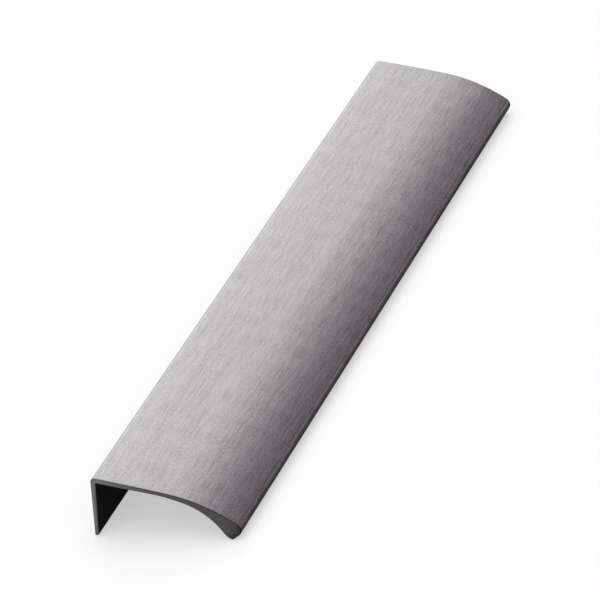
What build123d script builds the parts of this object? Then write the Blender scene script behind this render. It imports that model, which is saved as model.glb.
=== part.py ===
from build123d import *
from math import asin, atan2, cos, degrees, hypot, radians, sin
import os

# Edge pull for a drawer front or a door: one aluminium extrusion, cut square at both ends.
# A flange screws to the back of the front, a plate lies on its edge, and a nose curves
# down before it for the fingers.

# lengths in millimetres, angles in degrees
pull_length = 200.0        # along the extrusion

# cross-section, measured from the outer corner where the flange and the plate meet
flange_height = 16.8       # from the top of the plate to the foot of the flange
flange_root_thickness = 1.25
flange_foot_thickness = 0.9    # the outer face leans in, the inner face is square to the plate
plate_thickness = 1.35     # where the plate lies on the edge of the front
crown_width = 19.75        # nearly flat part of the top
crown_radius = 450.0
brow_radius = 40.0         # the top from there down to the nose
brow_end_slope = 32.4      # slope of the top where it reaches the nose
seat_width = 14.0          # from the flange to where the underside starts to curve
lead_radius = 40.0         # first part of the hollow under the nose
lead_end_slope = 12.5
hollow_radius = 16.8       # the part that the fingertips pull on
hollow_end_slope = 56.2
tip_reach = 35.83          # corner of the nose's tip, before it is rounded
tip_drop = 10.15

# rounded edges of the section
back_edge_radius = 1.2
foot_outer_radius = 0.5
foot_inner_radius = 0.32
inside_corner_radius = 0.2
brow_edge_radius = 2.0
tip_radius = 0.6
lip_radius = 3.4           # from the tip into the hollow
end_edge_radius = 0.25     # softened rim of both cut ends

# two countersunk screw holes through the flange, heads on its back
screw_spacing = 160.0
screw_hole_diameter = 4.0
countersink_diameter = 5.6
countersink_angle = 90.0
screw_height = 9.0         # below the top of the plate

# the section, drawn with the flange upright and the outer back corner at zero
crown_sweep = degrees(asin(crown_width / crown_radius))
flange_draft = flange_root_thickness - flange_foot_thickness
foot_outer_corner = (flange_draft, -flange_height)
foot_inner_corner = (flange_root_thickness, -flange_height)
inside_corner = (flange_root_thickness, -plate_thickness)
tip_corner = (tip_reach, -tip_drop)

with BuildSketch() as section:
    with BuildLine() as outline:
        crown = JernArc((0, 0), (1, 0), crown_radius, -crown_sweep)
        brow = JernArc(crown @ 1, crown % 1, brow_radius, crown_sweep - brow_end_slope)
        seat = Line(inside_corner, (flange_root_thickness + seat_width, -plate_thickness))
        lead = JernArc(seat @ 1, (1, 0), lead_radius, -lead_end_slope)
        hollow = JernArc(lead @ 1, lead % 1, hollow_radius, lead_end_slope - hollow_end_slope)
        front = Line(brow @ 1, tip_corner)
        lip = Line(tip_corner, hollow @ 1)
        flange = Polyline((0, 0), foot_outer_corner, foot_inner_corner, inside_corner)
    make_face()
    for corner, radius in (
        ((0, 0), back_edge_radius),
        (inside_corner, inside_corner_radius),
        (foot_outer_corner, foot_outer_radius),
        (foot_inner_corner, foot_inner_radius),
        (brow @ 1, brow_edge_radius),
        (tip_corner, tip_radius),
        (hollow @ 1, lip_radius),
    ):
        fillet(section.vertices().sort_by_distance(corner)[0], radius)

# Unheld, the pull leans forward until it stands on the foot of the flange and on the tip
# of the nose, so the lean is that of the line that touches both rounded edges from below.
rounds = section.edges().filter_by(GeomType.CIRCLE)
foot_round = rounds.filter_by(lambda e: abs(e.radius - foot_inner_radius) < 1e-4)[0].arc_center
tip_round = rounds.filter_by(lambda e: abs(e.radius - tip_radius) < 1e-4)[0].arc_center
step_x = tip_round.X - foot_round.X
step_z = tip_round.Y - foot_round.Y
rise = degrees(atan2(step_z, step_x))
lean = rise - degrees(asin((tip_radius - foot_inner_radius) / hypot(step_x, step_z)))

# the leaning section again, only to find its middle and its lowest line
with BuildSketch() as leaning:
    add(section.sketch, rotation=-lean)
box = leaning.sketch.bounding_box()
mid_x = (box.min.X + box.max.X) / 2
floor_z = box.min.Y

across = (cos(radians(lean)), 0, -sin(radians(lean)))
rest_plane = Plane(origin=(-mid_x, pull_length / 2, -floor_z), x_dir=across, z_dir=(0, -1, 0))

with BuildPart() as pull:
    with BuildSketch(rest_plane):
        add(section.sketch)
    extrude(amount=pull_length)
    ends = pull.faces().filter_by(Axis.Y)
    fillet(ends.edges(), end_edge_radius)

    # back of the flange at the screws: local x runs along the pull, local y up the flange
    back_x = flange_draft * screw_height / flange_height
    back_face = Plane(
        origin=rest_plane.from_local_coords((back_x, -screw_height, pull_length / 2)),
        x_dir=(0, -1, 0),
        z_dir=(-across[0], 0, -across[2]),
    )
    with Locations(back_face):
        with GridLocations(screw_spacing, 0, 2, 1):
            CounterSinkHole(
                screw_hole_diameter / 2,
                countersink_diameter / 2,
                depth=3 * flange_root_thickness,
                counter_sink_angle=countersink_angle,
            )

print("lean at rest", round(lean, 3), "degrees")
print("outer back corner stands at", round(-mid_x, 3), round(-floor_z, 3))

os.makedirs("parts", exist_ok=True)
pull.part.label = "pull"
export_step(pull.part, "parts/pull.step")
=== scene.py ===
import bpy
import bmesh
from math import acos, asin, atan2, cos, pi, radians, sin, sqrt
from mathutils import Matrix, Quaternion, Vector


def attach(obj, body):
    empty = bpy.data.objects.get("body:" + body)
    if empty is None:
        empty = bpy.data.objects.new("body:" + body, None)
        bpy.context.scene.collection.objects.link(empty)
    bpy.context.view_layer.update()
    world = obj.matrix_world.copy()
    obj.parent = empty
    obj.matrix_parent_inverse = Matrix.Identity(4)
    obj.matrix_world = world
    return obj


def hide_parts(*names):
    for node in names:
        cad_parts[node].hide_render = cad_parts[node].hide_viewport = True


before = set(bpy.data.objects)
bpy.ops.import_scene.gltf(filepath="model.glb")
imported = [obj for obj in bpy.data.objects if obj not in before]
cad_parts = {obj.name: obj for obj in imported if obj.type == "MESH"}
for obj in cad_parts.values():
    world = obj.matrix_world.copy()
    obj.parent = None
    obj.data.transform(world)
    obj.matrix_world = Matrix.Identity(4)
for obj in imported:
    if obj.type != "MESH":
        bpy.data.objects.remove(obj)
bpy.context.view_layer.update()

# Section of the extrusion, in millimetres, from the outer corner of flange and plate. Slopes in degrees.
LENGTH = 200.0
FLANGE_HEIGHT = 16.8
FLANGE_ROOT_THICKNESS = 1.25
FLANGE_FOOT_THICKNESS = 0.9
PLATE_THICKNESS = 1.35
CROWN_WIDTH = 19.75
CROWN_RADIUS = 450.0
BROW_RADIUS = 40.0
BROW_END_SLOPE = 32.4
SEAT_WIDTH = 14.0
LEAD_RADIUS = 40.0
LEAD_END_SLOPE = 12.5
HOLLOW_RADIUS = 16.8
HOLLOW_END_SLOPE = 56.2
TIP_REACH = 35.83
TIP_DROP = 10.15
BACK_EDGE_RADIUS = 1.2
FOOT_OUTER_RADIUS = 0.5
FOOT_INNER_RADIUS = 0.32
INSIDE_CORNER_RADIUS = 0.2
BROW_EDGE_RADIUS = 2.0
TIP_RADIUS = 0.6
LIP_RADIUS = 3.4
END_EDGE_RADIUS = 0.25
FLANGE_DRAFT = FLANGE_ROOT_THICKNESS - FLANGE_FOOT_THICKNESS

# Two countersunk screw holes through the flange.
HOLE_RADIUS = 2.0
SINK_RADIUS = 2.8
SINK_DEPTH = SINK_RADIUS - HOLE_RADIUS
HOLE_SPACING = 160.0
HOLE_HEIGHT = 9.0

# How fine the mesh is. Lengths in millimetres.
CHORD_ERROR = 0.002
ARC_LEAST_STEPS = 6
END_EDGE_STEPS = 5
HOLE_STEPS = 48
STATION_STEP = 8.0
LAST_STATION = 92.0

MM_PER_METRE = 1000
TOUCH = 1e-6


def ray(angle):
    """Unit vector at an angle from straight up, turning towards the nose."""
    return Vector((sin(angle), cos(angle)))


def arc(centre, radius, a0, a1, face, inward=False):
    """Points and outward normals along an arc, with angles from straight up."""
    step = 2 * acos(1 - CHORD_ERROR / radius)
    n = max(ARC_LEAST_STEPS, int(abs(a1 - a0) / step) + 1)
    sign = -1 if inward else 1
    angles = [a0 + (a1 - a0) * i / n for i in range(n + 1)]
    return [(centre + radius * ray(a), sign * ray(a), face) for a in angles]


def meet(foot, along, centre, radius, near):
    """Where a straight line crosses a circle, on the side that lies nearer to a point."""
    w = foot - centre
    b = w.dot(along)
    root = sqrt(b * b - w.dot(w) + radius * radius)
    return min((foot + (s - b) * along for s in (root, -root)), key=lambda p: (p - near).length)


def outward(along):
    """Normal of a straight stretch of the outline, which runs clockwise."""
    return Vector((-along.y, along.x))


def angle_of(v):
    """Angle of a vector from straight up, turning towards the nose."""
    return atan2(v.x, v.y)


def flange_back(height):
    """Point of the flange's outer face, which leans in towards its foot."""
    return Vector((FLANGE_DRAFT * height / FLANGE_HEIGHT, -height))


def section_outline():
    """Closed outline of the extrusion, clockwise from the back of the flange over the top."""
    crown_sweep = asin(CROWN_WIDTH / CROWN_RADIUS)
    crown_centre = Vector((0, -CROWN_RADIUS))
    crown_end = crown_centre + CROWN_RADIUS * ray(crown_sweep)
    brow_centre = crown_end - BROW_RADIUS * ray(crown_sweep)
    brow_end = brow_centre + BROW_RADIUS * ray(radians(BROW_END_SLOPE))
    seat_end = FLANGE_ROOT_THICKNESS + SEAT_WIDTH
    lead_centre = Vector((seat_end, -PLATE_THICKNESS - LEAD_RADIUS))
    lead_slope = radians(LEAD_END_SLOPE)
    hollow_centre = lead_centre + (LEAD_RADIUS - HOLLOW_RADIUS) * ray(lead_slope)
    hollow_end = hollow_centre + HOLLOW_RADIUS * ray(radians(HOLLOW_END_SLOPE))
    tip_corner = Vector((TIP_REACH, -TIP_DROP))

    # straight stretches: up the back of the flange, down the front of the nose, up its lip
    rising = -flange_back(FLANGE_HEIGHT).normalized()
    front = (tip_corner - brow_end).normalized()
    lip = (hollow_end - tip_corner).normalized()
    back_out, front_out, lip_out = outward(rising), outward(front), outward(lip)

    # centres of the rounded edges, each an equal way in from what it joins
    r = BACK_EDGE_RADIUS
    back_centre = meet(-r * back_out, rising, crown_centre, CROWN_RADIUS - r, Vector((0, 0)))
    back_turn = angle_of(back_centre - crown_centre)
    r = BROW_EDGE_RADIUS
    edge_centre = meet(brow_end - r * front_out, front, brow_centre, BROW_RADIUS - r, brow_end)
    edge_turn = angle_of(edge_centre - brow_centre)
    tip_centre = tip_corner - TIP_RADIUS * (front_out + lip_out) / (1 + front_out.dot(lip_out))
    r = LIP_RADIUS
    lip_centre = meet(tip_corner - r * lip_out, lip, hollow_centre, HOLLOW_RADIUS + r, hollow_end)
    lip_turn = angle_of(lip_centre - hollow_centre)
    r = INSIDE_CORNER_RADIUS
    inside_centre = Vector((FLANGE_ROOT_THICKNESS + r, -PLATE_THICKNESS - r))
    r = FOOT_INNER_RADIUS
    foot_inner = Vector((FLANGE_ROOT_THICKNESS - r, -FLANGE_HEIGHT + r))
    r = FOOT_OUTER_RADIUS
    foot_outer = flange_back(FLANGE_HEIGHT - r - r * back_out.y) - r * back_out
    foot_end = foot_outer + r * back_out

    back_angle, front_angle, lip_angle = angle_of(back_out), angle_of(front_out), angle_of(lip_out)
    inside_hole = Vector((FLANGE_ROOT_THICKNESS, -HOLE_HEIGHT))
    points = [(foot_end, back_out, "back"), (flange_back(HOLE_HEIGHT), back_out, "back")]
    points += arc(back_centre, BACK_EDGE_RADIUS, back_angle, back_turn, "top")
    points += arc(crown_centre, CROWN_RADIUS, back_turn, crown_sweep, "top")[1:]
    points += arc(brow_centre, BROW_RADIUS, crown_sweep, edge_turn, "top")[1:]
    points += arc(edge_centre, BROW_EDGE_RADIUS, edge_turn, front_angle, "top")[1:]
    points += arc(tip_centre, TIP_RADIUS, front_angle, lip_angle + 2 * pi, "top")
    points += arc(lip_centre, LIP_RADIUS, lip_angle + 2 * pi, lip_turn + pi, "inside")
    points += arc(hollow_centre, HOLLOW_RADIUS, lip_turn, lead_slope, "inside", True)[1:]
    points += arc(lead_centre, LEAD_RADIUS, lead_slope, 0, "inside", True)[1:]
    points += arc(inside_centre, INSIDE_CORNER_RADIUS, 0, -pi / 2, "inside", True)
    points += [(inside_hole, ray(pi / 2), "inside")]
    points += arc(foot_inner, FOOT_INNER_RADIUS, pi / 2, pi, "inside")
    points += arc(foot_outer, FOOT_OUTER_RADIUS, pi, back_angle + 2 * pi, "back")[:-1]
    return points, foot_inner, tip_centre


outline, foot_centre, tip_centre = section_outline()

# the lean at which the foot of the flange and the tip of the nose both touch the floor
reach = tip_centre - foot_centre
LEAN = atan2(reach.y, reach.x) - asin((TIP_RADIUS - FOOT_INNER_RADIUS) / reach.length)


def leaning(v):
    """A vector of the section, turned as the pull lies on the floor."""
    return Vector((v.x * cos(LEAN) + v.y * sin(LEAN), -v.x * sin(LEAN) + v.y * cos(LEAN)))


spots = [p for p, n, f in outline]
leant = [leaning(p) for p in spots]
MID_X = (min(v.x for v in leant) + max(v.x for v in leant)) / 2
FLOOR_Z = min(v.y for v in leant)


def placed(p, y):
    """Point of the section, in millimetres, at a place along the pull, in the stored frame in metres."""
    v = leaning(p)
    return Vector(((v.x - MID_X) / MM_PER_METRE, y / MM_PER_METRE, (v.y - FLOOR_Z) / MM_PER_METRE))


def turned(n, along=0.0):
    """Normal of the section in the stored frame, with a share along the pull."""
    v = leaning(n)
    return Vector((v.x, along, v.y)).normalized()


# One fine mesh of the extrusion, with the exact normals of the arcs and flats.
END_IN = LENGTH / 2 - END_EDGE_RADIUS
STATION_STEPS = int(2 * LAST_STATION / STATION_STEP)
stations = [i * STATION_STEP - LAST_STATION for i in range(STATION_STEPS + 1)]
stations = [-END_IN, *stations, END_IN]
HOLE_GAPS = [(y - STATION_STEP / 2, y + STATION_STEP / 2) for y in (-HOLE_SPACING / 2, HOLE_SPACING / 2)]
SLOTS = ["top", "inside", "back", "ends", "rims"]

# how far round the section each point lies
girth = [0.0]
for p, q in zip(spots, spots[1:] + spots[:1]):
    girth.append(girth[-1] + (q - p).length)

bm = bmesh.new()
uv_layer = bm.loops.layers.uv.new("along")
loop_normals = {}


def face_of(verts, normals, uvs, slot_name):
    """Adds a face with its own normal and place on the map at each corner."""
    face = bm.faces.new(verts)
    face.material_index = SLOTS.index(slot_name)
    face.smooth = True
    for v, n, t in zip(verts, normals, uvs):
        for loop in face.loops:
            if loop.vert is v:
                loop[uv_layer].uv = t
                loop_normals[(v, face)] = n


def segment_label(i):
    """Finish of the stretch after a point. The flange's outer face reaches to the rounded back edge."""
    here, after = outline[i][2], outline[(i + 1) % len(outline)][2]
    return "back" if here == "back" and after == "top" else after


count = len(outline)
grid = [[bm.verts.new(placed(p, y)) for y in stations] for p in spots]
normal = [turned(n) for p, n, f in outline]


def hole_circle(radius, y0, depth=None):
    """Ring round a screw hole, from the side nearer +Y over its top; with no depth, on the outer face."""
    ring = []
    for k in range(HOLE_STEPS):
        a = 2 * pi * k / HOLE_STEPS
        spot = flange_back(HOLE_HEIGHT - radius * sin(a))
        if depth is not None:
            spot.x = depth
        ring.append(bm.verts.new(placed(spot, y0 + radius * cos(a))))
    return ring


# the countersinks and the holes, each a cone and a cylinder between three rings
sink_end = flange_back(HOLE_HEIGHT).x + SINK_DEPTH
rings = {}
for y_low, y_high in HOLE_GAPS:
    y0 = (y_low + y_high) / 2
    outer = hole_circle(SINK_RADIUS, y0)
    middle = hole_circle(HOLE_RADIUS, y0, sink_end)
    inner = hole_circle(HOLE_RADIUS, y0, FLANGE_ROOT_THICKNESS)
    rings[y_low] = (outer, inner)
    for k in range(HOLE_STEPS):
        k2 = (k + 1) % HOLE_STEPS
        angles = [2 * pi * j / HOLE_STEPS for j in (k, k2)]
        for ring_a, ring_b, tilt in ((outer, middle, 1.0), (middle, inner, 0.0)):
            norms = [turned(Vector((-tilt, -sin(a))), -cos(a)) for a in angles]
            corners = [ring_a[k2], ring_a[k], ring_b[k], ring_b[k2]]
            face_of(corners, [norms[1], norms[0], norms[0], norms[1]],
                    [(0.0, k2), (0.0, k), (1.0, k), (1.0, k2)], "back")


def share_up(v, low, high):
    """How far a corner lies from one height of the section to another, from 0 to 1."""
    x = v.co.x * MM_PER_METRE + MID_X
    z = v.co.z * MM_PER_METRE + FLOOR_Z
    return (x * sin(LEAN) + z * cos(LEAN) - low) / (high - low)


# the sides of the extrusion; a face at a hole ends in half of the hole's ring
FLANGE_FACING = 0.9        # the least sideways part of a normal of the flange's faces
at_hole = [
    i for i, (p, n, f) in enumerate(outline)
    if abs(p.y + HOLE_HEIGHT) < TOUCH and abs(n.x) > FLANGE_FACING
]
for i in range(count):
    i2 = (i + 1) % count
    label = segment_label(i)
    u, u2 = girth[i], girth[i + 1]
    for j in range(len(stations) - 1):
        y_a, y_b = stations[j], stations[j + 1]
        a, b, c, d = grid[i][j], grid[i2][j], grid[i2][j + 1], grid[i][j + 1]
        if (y_a, y_b) in HOLE_GAPS and (i in at_hole or i2 in at_hole):
            outer, inner = rings[y_a]
            ring = outer if label == "back" else inner
            low, high = spots[i].y, spots[i2].y
            # half of the ring, from its +Y side to its -Y side, over its top or under its foot
            way = 1 if (low + high) / 2 > -HOLE_HEIGHT else -1
            half = [ring[way * k % HOLE_STEPS] for k in range(HOLE_STEPS // 2 + 1)]
            verts = [a, b, c, d] + half if i in at_hole else [a, b] + half[::-1] + [c, d]
            uvs = [(u + (u2 - u) * share_up(v, low, high), v.co.y * MM_PER_METRE) for v in verts]
            face_of(verts, [normal[i]] * len(verts), uvs, label)
        else:
            face_of([a, b, c, d], [normal[i], normal[i2], normal[i2], normal[i]],
                    [(u, y_a), (u2, y_a), (u2, y_b), (u, y_b)], label)

# the rounded rims and the cut ends, whose map is the section itself
for end, column in ((-1, 0), (1, -1)):
    rim = [row[column] for row in grid]
    for step in range(1, END_EDGE_STEPS + 1):
        turn = pi / 2 * step / END_EDGE_STEPS
        before = turn - pi / 2 / END_EDGE_STEPS
        inset = END_EDGE_RADIUS * (1 - cos(turn))
        y = end * (END_IN + END_EDGE_RADIUS * sin(turn))
        next_rim = [bm.verts.new(placed(p - inset * n, y)) for p, n, f in outline]
        for i in range(count):
            i2 = (i + 1) % count
            corners = [rim[i2], rim[i], next_rim[i], next_rim[i2]]
            ways = [(i2, before), (i, before), (i, turn), (i2, turn)]
            norms = [turned(cos(a) * outline[k][1], end * sin(a)) for k, a in ways]
            uvs = [spots[k] for k, a in ways]
            if end > 0:
                corners, norms, uvs = corners[::-1], norms[::-1], uvs[::-1]
            face_of(corners, norms, uvs, "rims")
        rim = next_rim
    face_of(rim[::end], [Vector((0, end, 0))] * count, spots[::end], "ends")

mesh = bpy.data.meshes.new("pull_metal")
bm.verts.index_update()
bm.faces.index_update()
by_index = {(v.index, f.index): n for (v, f), n in loop_normals.items()}
bm.to_mesh(mesh)
bm.free()
mesh.normals_split_custom_set(
    [by_index[(mesh.loops[l].vertex_index, p.index)] for p in mesh.polygons for l in p.loop_indices]
)
pull = bpy.data.objects.new("pull_metal", mesh)
bpy.context.scene.collection.objects.link(pull)
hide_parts("pull")
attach(pull, "root")

# Finishes. The map "along" is in millimetres: u round the section and v along the pull.
NOISE_SPAN = (0.3, 0.7)        # noise lies mostly between these
NOISE_WIDE_SPAN = (0.25, 0.75)
NOISE_SHIFT = (7.3, 3.1, 1.0)  # for each seed, so that no two noises share a place


class Finish:
    """A metal finish, built from noise on the map."""

    def __init__(self, name):
        self.mat = bpy.data.materials.new(name)
        self.mat.use_nodes = True
        self.nodes = self.mat.node_tree.nodes
        self.links = self.mat.node_tree.links
        self.shader = self.nodes["Principled BSDF"]
        self.shader.inputs["Metallic"].default_value = 1.0
        self.map = self.nodes.new("ShaderNodeUVMap")
        self.map.uv_map = "along"

    def map_part(self, axis):
        """One coordinate of the map, X or Y, in millimetres."""
        node = self.nodes.new("ShaderNodeSeparateXYZ")
        self.links.new(self.map.outputs["UV"], node.inputs["Vector"])
        return node.outputs[axis]

    def noise(self, across, along, seed, detail=0.0, slant=0.0):
        """Noise from 0 to 1, with so many grains a millimetre in each direction of the map."""
        place = self.nodes.new("ShaderNodeMapping")
        place.inputs["Rotation"].default_value = (0, 0, radians(slant))
        self.links.new(self.map.outputs["UV"], place.inputs["Vector"])
        size = self.nodes.new("ShaderNodeMapping")
        size.inputs["Scale"].default_value = (across, along, 1)
        size.inputs["Location"].default_value = [seed * shift for shift in NOISE_SHIFT]
        self.links.new(place.outputs["Vector"], size.inputs["Vector"])
        tex = self.nodes.new("ShaderNodeTexNoise")
        tex.inputs["Scale"].default_value = 1
        tex.inputs["Detail"].default_value = detail
        self.links.new(size.outputs["Vector"], tex.inputs["Vector"])
        return tex.outputs["Fac"]

    def ranged(self, value, low, high, to_low=0.0, to_high=1.0):
        """A value brought from one range to another, and kept in it."""
        node = self.nodes.new("ShaderNodeMapRange")
        ranges = {"From Min": low, "From Max": high, "To Min": to_low, "To Max": to_high}
        for socket, number in ranges.items():
            node.inputs[socket].default_value = number
        self.links.new(value, node.inputs["Value"])
        return node.outputs["Result"]

    def math(self, kind, first, *others):
        """All values joined by one kind of arithmetic, from left to right."""
        for other in others:
            node = self.nodes.new("ShaderNodeMath")
            node.operation = kind
            self.links.new(first, node.inputs[0])
            if isinstance(other, float):
                node.inputs[1].default_value = other
            else:
                self.links.new(other, node.inputs[1])
            first = node.outputs["Value"]
        return first

    def times(self, *values):
        return self.math("MULTIPLY", *values)

    def plus(self, *values):
        return self.math("ADD", *values)

    def mix(self, value, first, second):
        """From the first colour, where the value is 0, to the second, where it is 1."""
        node = self.nodes.new("ShaderNodeMix")
        node.data_type = "RGBA"
        self.links.new(value, node.inputs["Factor"])
        for socket, colour in (("A", first), ("B", second)):
            if isinstance(colour, tuple):
                node.inputs[socket].default_value = (*colour, 1)
            else:
                self.links.new(colour, node.inputs[socket])
        return node.outputs["Result"]

    def finish(self, colour, grain, roughness, relief, height):
        """Joins the colour, a roughness that follows the grain and a relief to the shader."""
        self.links.new(colour, self.shader.inputs["Base Color"])
        self.links.new(self.ranged(grain, *roughness), self.shader.inputs["Roughness"])
        bump = self.nodes.new("ShaderNodeBump")
        bump.inputs["Distance"].default_value = height
        self.links.new(relief, bump.inputs["Height"])
        self.links.new(bump.outputs["Normal"], self.shader.inputs["Normal"])
        mesh.materials.append(self.mat)

    def brush(self, anisotropy):
        """Stretches the highlights across the brushing, which runs along the pull."""
        self.shader.inputs["Anisotropic"].default_value = anisotropy
        node = self.nodes.new("ShaderNodeTangent")
        node.direction_type = "UV_MAP"
        node.uv_map = "along"
        self.links.new(node.outputs["Tangent"], self.shader.inputs["Tangent"])


def shade(colour, factor):
    return tuple(c * factor for c in colour)


def girth_where(face, test):
    """How far round the section the first point lies that is on a face and meets a test."""
    return next(u for u, (p, n, f) in zip(girth, outline) if f == face and test(p, n))


CROWN_METAL = (0.398, 0.387, 0.390)
# more purple than the crown's metal: a painted tint of the light
NOSE_METAL_PAINTED_TINT = (0.453, 0.423, 0.448)
COAT = (0.155, 0.146, 0.151)
BLACK = (0.0, 0.0, 0.0)
RELIEF = 0.00001           # in metres, as all relief
FRONT_FACING = 0.5         # sideways part of the normal where the brow turns into the nose's front
CROWN_START = girth_where("top", lambda p, n: p.x > BACK_EDGE_RADIUS)
CROWN_END = girth_where("top", lambda p, n: p.x > CROWN_WIDTH)
NOSE_START = girth_where("top", lambda p, n: n.x > FRONT_FACING)
FLANGE_START = girth_where("inside", lambda p, n: n.x > FLANGE_FACING)

# Brushed along its length: streaks of three lengths, thin darker nicks and lighter glints, and
# soft broad bands. On the brow the brush bit deeper, and the metal is a little more purple there, a painted
# tint of the light. Painted light makes the crown lighter near its back edge.
# Each streak has its grains a millimetre round and along, its seed, its slant in degrees and its weight.
STREAKS = ((6.0, 0.17, 1, 0.0, 0.32), (5.0, 0.05, 2, 1.2, 0.20), (6.5, 1.1, 3, -2.0, 0.48))
STREAK_TONE = 0.30
MARK_GRAINS = (7.0, 0.12)
MARK_PEAKS = (0.58, 0.78)
NICK_TONE = -0.26
GLINT_TONE = 0.22
BITE_ON_CROWN, BITE_ON_BROW = 0.78, 1.7
BAND_GRAINS = (0.55, 0.012)
BAND_TONE = 0.05
# painted light: the crown lighter by this much at its back edge, and darker by this much past it
BACK_PAINTED_LIGHT = 0.03
BACK_PAINTED_LIGHT_WIDTH = 8.0           # from the back edge to where the painted light has turned into a slight painted darkening
TONE_SPAN = 0.6
SHADE_SPAN = 0.55          # how much darker and lighter the metal is at the ends of that span
BRUSHED_ROUGHNESS = (0.42, 0.34)
RIDGE_GRAINS = (3.5, 0.10)
RIDGE_HEIGHT = 0.000012
STREAK_RELIEF = 0.3        # as a share of the ridges' height
brushed = Finish("brushed_aluminium")
round_it = brushed.map_part("X")
over_brow = brushed.ranged(round_it, CROWN_END, NOSE_START)
grain = brushed.plus(*(
    brushed.times(brushed.noise(across, along, seed, slant=slant), weight)
    for across, along, seed, slant, weight in STREAKS
))
nicks = brushed.ranged(brushed.noise(*MARK_GRAINS, 5, slant=1.0), *MARK_PEAKS)
glints = brushed.ranged(brushed.noise(*MARK_GRAINS, 11, slant=-0.5), *MARK_PEAKS)
bands = brushed.noise(*BAND_GRAINS, 4, detail=2.0)
marks = brushed.plus(
    brushed.ranged(grain, *NOISE_SPAN, -STREAK_TONE, STREAK_TONE),
    brushed.times(nicks, NICK_TONE),
    brushed.times(glints, GLINT_TONE),
)
tone = brushed.plus(
    brushed.times(marks, brushed.ranged(over_brow, 0.0, 1.0, BITE_ON_CROWN, BITE_ON_BROW)),
    brushed.ranged(bands, *NOISE_SPAN, -BAND_TONE, BAND_TONE),
    # painted light, lighter at the crown's back edge and a little darker beyond
    brushed.ranged(round_it, CROWN_START, CROWN_START + BACK_PAINTED_LIGHT_WIDTH, BACK_PAINTED_LIGHT, -BACK_PAINTED_LIGHT),
)
depth = brushed.ranged(tone, -TONE_SPAN, TONE_SPAN)
# the crown's metal turning over the brow into the nose's, whose tint is painted light
metal = brushed.mix(over_brow, *(
    brushed.mix(depth, shade(colour, 1 - SHADE_SPAN), shade(colour, 1 + SHADE_SPAN))
    for colour in (CROWN_METAL, NOSE_METAL_PAINTED_TINT)
))
ridges = brushed.noise(*RIDGE_GRAINS, 10, detail=1.0, slant=0.6)
relief = brushed.plus(brushed.times(grain, STREAK_RELIEF), ridges)
brushed.finish(metal, grain, (*NOISE_SPAN, *BRUSHED_ROUGHNESS), relief, RIDGE_HEIGHT)
brushed.brush(0.6)

# As extruded, inside: faint lines of the die under the dark coat, with painted shade that makes it darkest on
# the flange's inner face.
DIE_GRAINS = (2.4, 0.02)
DULL_ROUGHNESS = (*NOISE_WIDE_SPAN, 0.60, 0.50)
FADE_WIDTH = 6.0
# painted shade: the share of the coat's colour left on the flange's inner face
FLANGE_PAINTED_SHADE = 0.30
inside = Finish("coated_aluminium_inside")
lines = inside.noise(*DIE_GRAINS, 6, detail=3.0)
# painted shade fading in towards the flange, times the die's lines
tone_factor = inside.times(
    inside.ranged(inside.map_part("X"), FLANGE_START - FADE_WIDTH, FLANGE_START, 1.0, FLANGE_PAINTED_SHADE),
    inside.ranged(lines, *NOISE_SPAN, 0.84, 1.16),
)
inside.finish(inside.mix(tone_factor, BLACK, shade(COAT, 0.76)), lines, DULL_ROUGHNESS, lines, RELIEF)
inside.shader.inputs["Specular Tint"].default_value = (0.16, 0.16, 0.16, 1)

# As extruded, the back of the flange.
BACK_ROUGHNESS = (*NOISE_WIDE_SPAN, 0.50, 0.42)
back = Finish("coated_aluminium_back")
lines = back.noise(*DIE_GRAINS, 7, detail=3.0)
tone_factor = back.ranged(lines, *NOISE_SPAN)
back.finish(back.mix(tone_factor, shade(COAT, 0.95), shade(COAT, 1.20)), lines, BACK_ROUGHNESS, lines, RELIEF)

# Saw-cut ends, with the blade's lines slanting across them. Painted shade darkens them at the flange's
# foot and towards the nose, and most in its tip. A fade has its start and end on the map, and
# the share of the coat's colour left at both.
SAW_GRAINS = (3.0, 0.35)
SAW_SLANT = 52.0
SAW_ROUGHNESS = (*NOISE_WIDE_SPAN, 0.58, 0.46)
# painted shade: darker towards the nose, at the flange's foot and in the tip
FORWARD_PAINTED_SHADE = ((0.5, 10.5, 1.0, 0.64), (12.0, 25.0, 1.0, 0.80), (35.0, 38.5, 1.0, 0.7))
FOOT_PAINTED_SHADE = (-16.5, -14.0, 0.62, 1.0)
TIP_FORWARD, TIP_UPWARD = (20.0, 30.0, 0.0, 1.0), (-10.2, -8.0, 1.0, 0.0)
TIP_PAINTED_SHADE = 0.5
ends = Finish("saw_cut_aluminium")
cut = ends.noise(*SAW_GRAINS, 8, detail=2.0, slant=SAW_SLANT)
from_back, upward = ends.map_part("X"), ends.map_part("Y")
in_tip = ends.times(ends.ranged(from_back, *TIP_FORWARD), ends.ranged(upward, *TIP_UPWARD))
# painted shade from the fades and the tip, times the saw's lines
tone_factor = ends.times(
    *(ends.ranged(from_back, *fade) for fade in FORWARD_PAINTED_SHADE),
    ends.ranged(upward, *FOOT_PAINTED_SHADE),
    ends.ranged(in_tip, 0.0, 1.0, 1.0, TIP_PAINTED_SHADE),
    ends.ranged(cut, *NOISE_SPAN, 0.90, 1.10),
)
ends.finish(ends.mix(tone_factor, BLACK, shade(COAT, 1.15)), cut, SAW_ROUGHNESS, cut, RELIEF)

# The rounded rim along the saw cut, near the flange like the end beside it, and past it darker with painted
# shade.
RIM_PAINTED_SHADE = (2.0, 16.0, 1.0, 0.40)
WEAR_GRAINS = (1.5, 1.5)
rims = Finish("saw_cut_rim")
worn = rims.noise(*WEAR_GRAINS, 9, detail=2.0)
# painted shade past the flange, times the wear
tone_factor = rims.times(rims.ranged(rims.map_part("X"), *RIM_PAINTED_SHADE), rims.ranged(worn, *NOISE_SPAN, 0.80, 1.20))
rims.finish(rims.mix(tone_factor, BLACK, shade(COAT, 0.9)), worn, DULL_ROUGHNESS, worn, RELIEF)


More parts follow.
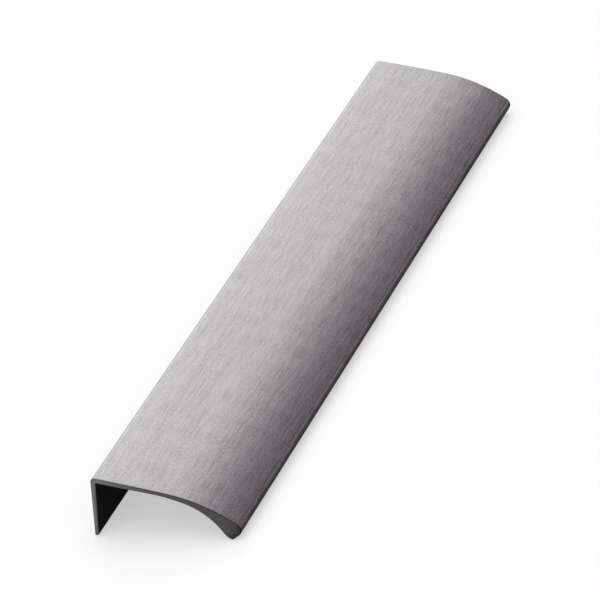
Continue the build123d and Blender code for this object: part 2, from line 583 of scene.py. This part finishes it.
def looked_at(nodes, links, share=1.0):
    """A socket that is share where the camera, metal or glass looks at a surface, and 0 otherwise."""
    path = nodes.new("ShaderNodeLightPath")
    seen = path.outputs["Is Camera Ray"]
    for ray_kind in ("Is Glossy Ray", "Is Transmission Ray"):
        either = nodes.new("ShaderNodeMath")
        either.operation = "MAXIMUM"
        links.new(seen, either.inputs[0])
        links.new(path.outputs[ray_kind], either.inputs[1])
        seen = either.outputs["Value"]
    part = nodes.new("ShaderNodeMath")
    part.operation = "MULTIPLY"
    links.new(seen, part.inputs[0])
    part.inputs[1].default_value = share
    return part.outputs["Value"]


def mixed_shader(nodes, links, value, first, second):
    """A shader that goes from the first, where the value is 0, to the second, where it is 1."""
    node = nodes.new("ShaderNodeMixShader")
    links.new(value, node.inputs["Fac"])
    links.new(first, node.inputs[1])
    links.new(second, node.inputs[2])
    return node.outputs["Shader"]


def flat_sheet(name, width, height):
    """A rectangle that faces up, with its middle at the origin."""
    w, h = width / 2, height / 2
    sheet = bpy.data.meshes.new(name)
    sheet.from_pydata([(-w, -h, 0), (w, -h, 0), (w, h, 0), (-w, h, 0)], [], [(0, 1, 2, 3)])
    obj = bpy.data.objects.new(name, sheet)
    bpy.context.scene.collection.objects.link(obj)
    return obj


# Floor, pale and plain, with the pull's own shadow on it, softened by some white of its own.
# From below it is clear.
FLOOR_GREY = 0.94
FLOOR_WHITE = 0.5
FLOOR_SIZE = 60.0
FLOOR_GAP = 0.00002
floor = flat_sheet("floor", FLOOR_SIZE, FLOOR_SIZE)
floor.location.z = -FLOOR_GAP
pale = bpy.data.materials.new("pale_floor")
pale.use_nodes = True
nodes, links = pale.node_tree.nodes, pale.node_tree.links
nodes.remove(nodes["Principled BSDF"])
diffuse = nodes.new("ShaderNodeBsdfDiffuse")
diffuse.inputs["Color"].default_value = (FLOOR_GREY, FLOOR_GREY, FLOOR_GREY, 1)
glow = nodes.new("ShaderNodeEmission")
glow.inputs["Color"].default_value = (1, 1, 1, 1)
glow.inputs["Strength"].default_value = 1.0
share = looked_at(nodes, links, FLOOR_WHITE)
softened = mixed_shader(nodes, links, share, diffuse.outputs["BSDF"], glow.outputs["Emission"])
from_below = nodes.new("ShaderNodeNewGeometry").outputs["Backfacing"]
clear = nodes.new("ShaderNodeBsdfTransparent").outputs["BSDF"]
links.new(mixed_shader(nodes, links, from_below, softened, clear), nodes["Material Output"].inputs["Surface"])
floor.data.materials.append(pale)

# Room: white where the camera, the metal or glass looks at it, and a softer fill for the rest.
FILL_STRENGTH = 0.61
world = bpy.data.worlds.new("studio")
bpy.context.scene.world = world
world.use_nodes = True
nodes, links = world.node_tree.nodes, world.node_tree.links
fill = nodes["Background"]
fill.inputs["Color"].default_value = (1, 1, 1, 1)
fill.inputs["Strength"].default_value = FILL_STRENGTH
white = nodes.new("ShaderNodeBackground")
white.inputs["Color"].default_value = (1, 1, 1, 1)
white.inputs["Strength"].default_value = 1.0
share = looked_at(nodes, links)
room = mixed_shader(nodes, links, share, fill.outputs["Background"], white.outputs["Background"])
links.new(room, nodes["World Output"].inputs["Surface"])


def set_towards(obj, azimuth, elevation, distance, roll=0.0):
    """Sets a lamp or card in a direction, azimuth from +Y towards +X, so that it faces the object."""
    a, e = radians(azimuth), radians(elevation)
    direction = Vector((sin(a) * cos(e), cos(a) * cos(e), sin(e)))
    obj.location = direction * distance
    facing = direction.to_track_quat("Z", "Y") @ Quaternion((0, 0, 1), radians(roll))
    obj.rotation_euler = facing.to_euler()
    obj.visible_camera = False


def softbox(name, width, height, radiance, **place):
    """A soft light that faces the object. Its power follows from how bright its face is."""
    lamp = bpy.data.lights.new(name, "AREA")
    lamp.shape = "RECTANGLE"
    lamp.size, lamp.size_y = width, height
    lamp.energy = radiance * pi * width * height
    obj = bpy.data.objects.new(name, lamp)
    set_towards(obj, **place)
    bpy.context.scene.collection.objects.link(obj)


def flag(name, width, height, colour, **place):
    """A dark card that only the metal sees: a studio flag beside the piece, or a painted shadow flat on the
    floor.
    """
    card = flat_sheet(name, width, height)
    cloth = bpy.data.materials.new(name + "_cloth")
    cloth.use_nodes = True
    shader = cloth.node_tree.nodes["Principled BSDF"]
    shader.inputs["Base Color"].default_value = (*colour, 1)
    shader.inputs["Roughness"].default_value = 1.0
    shader.inputs["Specular IOR Level"].default_value = 0.0
    card.data.materials.append(cloth)
    set_towards(card, **place)
    card.visible_diffuse = False
    card.visible_shadow = False
    return card


softbox("light_behind_left", 0.5, 1.8, radiance=2.75, azimuth=-30, elevation=36, distance=3.0, roll=-50)
softbox("light_above", 3.0, 3.0, radiance=1.25, azimuth=0, elevation=90, distance=2.6)
softbox("light_front", 3.0, 1.5, radiance=0.5, azimuth=180, elevation=35, distance=3.0)
flag("flag_behind_right", 2.0, 1.62, (0.046, 0.020, 0.040), azimuth=44, elevation=28, distance=2.0)

# the second card lies just above the floor, from under the nose outwards: a painted shadow beside the nose,
# seen only in the metal's reflections
NOSE_CARD_START = 0.0172
NOSE_CARD_WIDTH = 0.5828
NOSE_CARD_GAP = 0.0003
nose_shadow_card = flag("painted_shadow_beside_nose", NOSE_CARD_WIDTH, 1.0, (0.06, 0.06, 0.06),
                 azimuth=0, elevation=90, distance=NOSE_CARD_GAP)
nose_shadow_card.location.x = NOSE_CARD_START + NOSE_CARD_WIDTH / 2

# Camera, from the photograph: a long lens, looking down along the pull from the nose's side.
AIM = Vector((0.001833, -0.010110, 0.010))
DISTANCE = 1.20135
VIEW_TURN = -28.028
VIEW_PITCH = -29.302
VIEW_ROLL = -14.095
FOCAL_PIXELS = 4800.0
FRAME_PIXELS = 600.0
SENSOR_WIDTH = 36.0
turn, pitch, roll = radians(VIEW_TURN), radians(VIEW_PITCH), radians(VIEW_ROLL)
forward = Vector((sin(turn) * cos(pitch), cos(turn) * cos(pitch), sin(pitch)))
level = forward.cross(Vector((0, 0, 1))).normalized()
upright = level.cross(forward)
right = level * cos(roll) + upright * sin(roll)
up = right.cross(forward)
camera_data = bpy.data.cameras.new("camera")
camera_data.sensor_width = SENSOR_WIDTH
camera_data.lens = FOCAL_PIXELS * SENSOR_WIDTH / FRAME_PIXELS
camera = bpy.data.objects.new("camera", camera_data)
facing = Matrix((right, up, -forward)).transposed().to_4x4()
camera.matrix_world = Matrix.Translation(AIM - forward * DISTANCE) @ facing
bpy.context.scene.collection.objects.link(camera)
bpy.context.scene.camera = camera

scene = bpy.context.scene
scene.view_settings.view_transform = "Standard"
